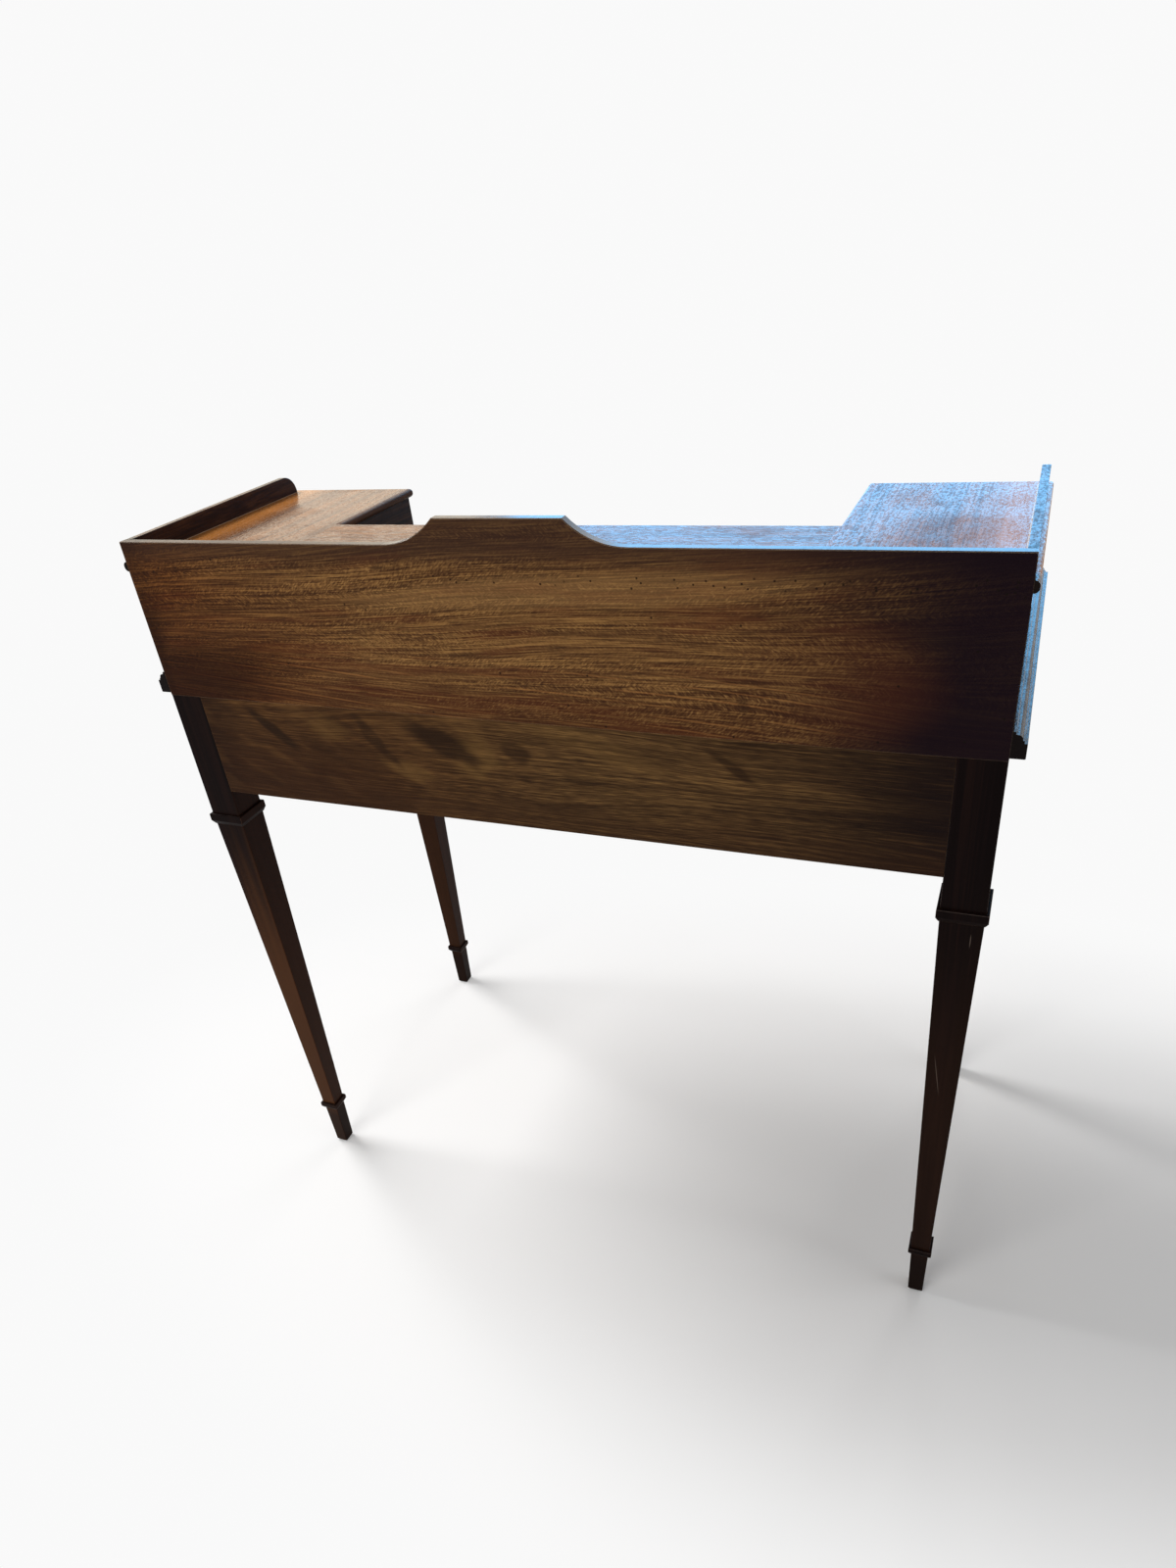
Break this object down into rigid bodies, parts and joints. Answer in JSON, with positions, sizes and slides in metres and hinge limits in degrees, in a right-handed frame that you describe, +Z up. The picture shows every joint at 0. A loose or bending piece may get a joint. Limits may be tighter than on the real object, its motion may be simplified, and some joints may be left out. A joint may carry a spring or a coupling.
{
  "type": "small writing desk",
  "caption": "Small lady's writing desk on tapered legs, with banks of small drawers, pigeonholes, frieze drawers and a raised back board.",
  "frame": {"origin": "on the floor, under the middle of the table top", "axes": "+X to the sitter's right, +Y to the back, +Z up"},
  "size_m": [0.915, 0.4559, 0.932],
  "materials": {
    "mahogany": "French polish",
    "leg_polish": "dark polish over solid mahogany",
    "secondary_timber": "waxed or plain",
    "leather": "tooled inset hide",
    "brass": "lacquered, lightly worn"
  },
  "bodies": {
    "carcase": {"back_left_leg": "leg_polish", "back_right_leg": "leg_polish", "front_left_leg": "leg_polish", "front_right_leg": "leg_polish", "back_left_collars": "leg_polish", "back_right_collars": "leg_polish", "front_left_collars": "leg_polish", "front_right_collars": "leg_polish", "back_board": "mahogany", "centre_top": "mahogany", "table_top": "mahogany", "front_edge_moulding": "mahogany", "lower_rail": "mahogany", "upper_rail": "mahogany", "drawer_divider": "mahogany", "left_pigeonhole_divider": "mahogany", "centre_pigeonhole_divider": "mahogany", "right_pigeonhole_divider": "mahogany", "left_edge_moulding": "mahogany", "left_bank_top": "mahogany", "left_bank_outer_side": "mahogany", "left_bank_inner_side": "mahogany", "left_gallery": "mahogany", "frieze_left": "mahogany", "right_edge_moulding": "mahogany", "right_bank_top": "mahogany", "right_bank_outer_side": "mahogany", "right_bank_inner_side": "mahogany", "right_gallery": "mahogany", "frieze_right": "mahogany", "frieze_back": "secondary_timber", "left_runner": "secondary_timber", "right_runner": "secondary_timber", "centre_runner": "secondary_timber", "centre_guide": "secondary_timber", "drawer_kickers": "secondary_timber", "drawer_stops": "secondary_timber", "left_bank_shelf": "secondary_timber", "right_bank_shelf": "secondary_timber", "writing_leather": "leather"},
    "left_lower_drawer": {"left_lower_drawer_front": "mahogany", "left_lower_drawer_box": "secondary_timber", "left_lower_drawer_knob": "brass"},
    "left_upper_drawer": {"left_upper_drawer_front": "mahogany", "left_upper_drawer_box": "secondary_timber", "left_upper_drawer_knob": "brass"},
    "left_frieze_drawer": {"left_frieze_drawer_front": "mahogany", "left_frieze_drawer_box": "secondary_timber", "left_frieze_drawer_posts": "brass"},
    "left_frieze_drawer_bail": {"left_frieze_drawer_bail": "brass"},
    "right_lower_drawer": {"right_lower_drawer_front": "mahogany", "right_lower_drawer_box": "secondary_timber", "right_lower_drawer_knob": "brass"},
    "right_upper_drawer": {"right_upper_drawer_front": "mahogany", "right_upper_drawer_box": "secondary_timber", "right_upper_drawer_knob": "brass"},
    "right_frieze_drawer": {"right_frieze_drawer_front": "mahogany", "right_frieze_drawer_box": "secondary_timber", "right_frieze_drawer_posts": "brass"},
    "right_frieze_drawer_bail": {"right_frieze_drawer_bail": "brass"}
  },
  "joints": [
    {"name": "left_lower_drawer_slide", "type": "slide", "parent": "carcase", "child": "left_lower_drawer", "axis": [0, -1, 0], "range_m": [0, 0.2]},
    {"name": "left_upper_drawer_slide", "type": "slide", "parent": "carcase", "child": "left_upper_drawer", "axis": [0, -1, 0], "range_m": [0, 0.2]},
    {"name": "left_frieze_drawer_slide", "type": "slide", "parent": "carcase", "child": "left_frieze_drawer", "axis": [0, -1, 0], "range_m": [0, 0.3]},
    {"name": "left_frieze_drawer_bail_pivot", "type": "hinge", "parent": "left_frieze_drawer", "child": "left_frieze_drawer_bail", "pos_m": [-0.207, -0.222, 0.6805], "axis": [-1, 0, 0], "range_deg": [-12, 165]},
    {"name": "right_lower_drawer_slide", "type": "slide", "parent": "carcase", "child": "right_lower_drawer", "axis": [0, -1, 0], "range_m": [0, 0.2]},
    {"name": "right_upper_drawer_slide", "type": "slide", "parent": "carcase", "child": "right_upper_drawer", "axis": [0, -1, 0], "range_m": [0, 0.2]},
    {"name": "right_frieze_drawer_slide", "type": "slide", "parent": "carcase", "child": "right_frieze_drawer", "axis": [0, -1, 0], "range_m": [0, 0.3]},
    {"name": "right_frieze_drawer_bail_pivot", "type": "hinge", "parent": "right_frieze_drawer", "child": "right_frieze_drawer_bail", "pos_m": [0.207, -0.222, 0.6805], "axis": [-1, 0, 0], "range_deg": [-12, 165]}
  ]
}
